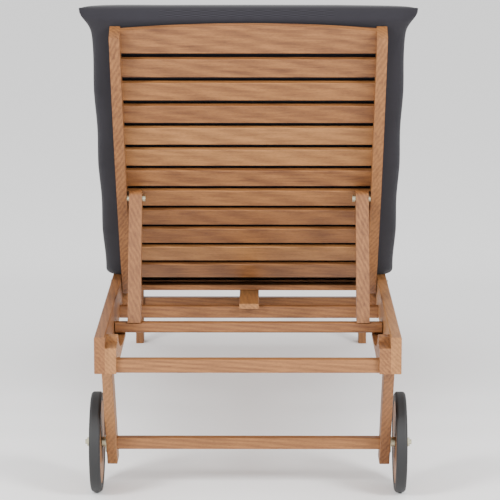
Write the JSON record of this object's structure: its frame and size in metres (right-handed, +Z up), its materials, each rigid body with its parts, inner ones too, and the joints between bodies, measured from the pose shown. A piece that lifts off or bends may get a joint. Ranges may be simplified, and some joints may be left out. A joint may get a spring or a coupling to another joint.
{
  "type": "reclining sun lounger",
  "caption": "Slatted wooden sun lounger with a reclining curved backrest on a notched prop, two wheels at the head end and a padded cushion.",
  "frame": {"origin": "on the floor under the middle of the lounger", "axes": "+Z up, +Y from the head end with the wheels to the foot end, +X to the right seen from behind the head end"},
  "size_m": [0.669, 1.8, 1.0115],
  "materials": {
    "frame_wood": "oiled acacia boards",
    "slat_wood": "oiled acacia slats",
    "wheel_wood": "oiled plywood disc",
    "tyre_rubber": "matt black rubber",
    "zinc_steel": "yellow passivated zinc",
    "cushion_fabric": "anthracite woven polyester"
  },
  "bodies": {
    "base": {"centre_batten": "frame_wood", "foot_leg_stretcher": "frame_wood", "foot_rail": "frame_wood", "head_stretcher": "frame_wood", "left_axle_bolt": "zinc_steel", "left_axle_nut": "zinc_steel", "left_backrest_bolt": "zinc_steel", "left_foot_leg": "frame_wood", "left_inner_washer": "zinc_steel", "left_notched_batten": "frame_wood", "left_outer_washer": "zinc_steel", "left_side_rail": "frame_wood", "left_slat_ledger": "frame_wood", "left_wheel_leg": "frame_wood", "right_axle_bolt": "zinc_steel", "right_axle_nut": "zinc_steel", "right_backrest_bolt": "zinc_steel", "right_foot_leg": "frame_wood", "right_inner_washer": "zinc_steel", "right_notched_batten": "frame_wood", "right_outer_washer": "zinc_steel", "right_side_rail": "frame_wood", "right_slat_ledger": "frame_wood", "right_wheel_leg": "frame_wood", "seat_cushion": "cushion_fabric", "seat_rear_crossbar": "frame_wood", "seat_slats_1": "slat_wood", "seat_slats_2": "slat_wood", "seat_slats_3": "slat_wood", "seat_slats_4": "slat_wood", "seat_slats_5": "slat_wood", "seat_slats_6": "slat_wood", "wheel_leg_stretcher": "frame_wood"},
    "backrest": {"back_cushion": "cushion_fabric", "back_slat_01": "slat_wood", "back_slat_02": "slat_wood", "back_slat_03": "slat_wood", "back_slat_04": "slat_wood", "back_slat_05": "slat_wood", "back_slat_06": "slat_wood", "back_slat_07": "slat_wood", "back_slat_08": "slat_wood", "back_slat_09": "slat_wood", "back_slat_10": "slat_wood", "back_slat_11": "slat_wood", "back_slat_12": "slat_wood", "left_prop_bolt": "zinc_steel", "left_stile": "frame_wood", "right_prop_bolt": "zinc_steel", "right_stile": "frame_wood"},
    "prop": {"left_prop_arm": "frame_wood", "prop_crossbar": "frame_wood", "right_prop_arm": "frame_wood"},
    "left_wheel": {"left_tyre": "tyre_rubber", "left_wheel_disc": "wheel_wood"},
    "right_wheel": {"right_tyre": "tyre_rubber", "right_wheel_disc": "wheel_wood"}
  },
  "joints": [
    {"name": "backrest_recline", "type": "hinge", "parent": "base", "child": "backrest", "pos_m": [0, -0.25315, 0.3539], "axis": [1, 0, 0], "range_deg": [0, 36]},
    {"name": "prop_swing", "type": "hinge", "parent": "backrest", "child": "prop", "pos_m": [0, -0.45675, 0.57611], "axis": [1, 0, 0], "range_deg": [-95.4, 0]},
    {"name": "left_wheel_spin", "type": "hinge", "parent": "base", "child": "left_wheel", "pos_m": [-0.31, -0.668, 0.103], "axis": [1, 0, 0], "continuous": true},
    {"name": "right_wheel_spin", "type": "hinge", "parent": "base", "child": "right_wheel", "pos_m": [0.31, -0.668, 0.103], "axis": [1, 0, 0], "continuous": true}
  ],
  "couplings": [
    {"joint": "prop_swing", "follows": "backrest_recline", "ratio": -2.65}
  ]
}
